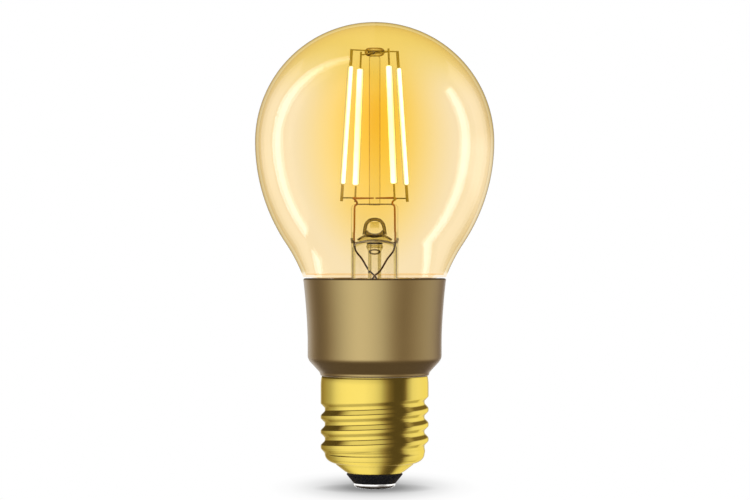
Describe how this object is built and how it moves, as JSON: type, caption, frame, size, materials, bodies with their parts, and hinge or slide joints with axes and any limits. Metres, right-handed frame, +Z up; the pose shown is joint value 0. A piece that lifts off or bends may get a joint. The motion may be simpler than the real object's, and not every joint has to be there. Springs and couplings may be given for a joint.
{
  "type": "smart light bulb",
  "caption": "Amber glass filament bulb with a screw cap, a metal-finished collar for the driver and radio, and LED filaments on a glass stem.",
  "frame": {"origin": "centre of the flat face of the centre contact, the lowest point of the bulb", "axes": "+Z up the bulb's axis, from the contact to the crown of the glass; the front, with the exhaust port and radio module, faces -Y; +X is to the right"},
  "size_m": [0.0584, 0.0584, 0.114],
  "materials": {
    "contact_metal": "satin",
    "black_glass": "glossy",
    "brass": "polished",
    "champagne_metal": "satin",
    "white_plastic": "matte",
    "cement": "matte",
    "amber_glass": "polished",
    "clear_glass": "polished",
    "phosphor": "satin",
    "nickel_iron": "satin",
    "copper": "satin",
    "board_laminate": "satin",
    "black_plastic": "matte",
    "can_sleeve": "glossy",
    "ferrite": "matte",
    "resistor_coat": "satin",
    "white_insulation": "satin",
    "black_insulation": "satin"
  },
  "bodies": {
    "root": {"bottom_wire_left": "copper", "bottom_wire_right": "copper", "bridge_rectifier": "black_plastic", "centre_contact": "contact_metal", "collar_housing": "champagne_metal", "contact_insulator": "black_glass", "driver_board": "board_laminate", "driver_chip": "black_plastic", "driver_liner": "white_plastic", "exhaust_tube": "clear_glass", "filament_left_back": "phosphor", "filament_left_front": "phosphor", "filament_right_back": "phosphor", "filament_right_front": "phosphor", "filament_tab_left_back_bottom": "nickel_iron", "filament_tab_left_back_top": "nickel_iron", "filament_tab_left_front_bottom": "nickel_iron", "filament_tab_left_front_top": "nickel_iron", "filament_tab_right_back_bottom": "nickel_iron", "filament_tab_right_back_top": "nickel_iron", "filament_tab_right_front_bottom": "nickel_iron", "filament_tab_right_front_top": "nickel_iron", "fuse_resistor": "resistor_coat", "glass_envelope": "amber_glass", "glass_stem": "clear_glass", "inductor_core": "ferrite", "inductor_winding": "copper", "input_capacitor": "can_sleeve", "lead_wire_left": "copper", "lead_wire_right": "copper", "live_wire": "black_insulation", "module_header": "black_plastic", "neck_cement": "cement", "neutral_wire": "white_insulation", "output_capacitor": "can_sleeve", "radio_antenna": "copper", "radio_board": "board_laminate", "radio_shield": "contact_metal", "screw_shell": "brass", "support_bead": "clear_glass", "support_rod": "clear_glass", "top_wire_lower": "nickel_iron", "top_wire_upper": "nickel_iron", "voltage_regulator": "black_plastic"}
  },
  "joints": []
}
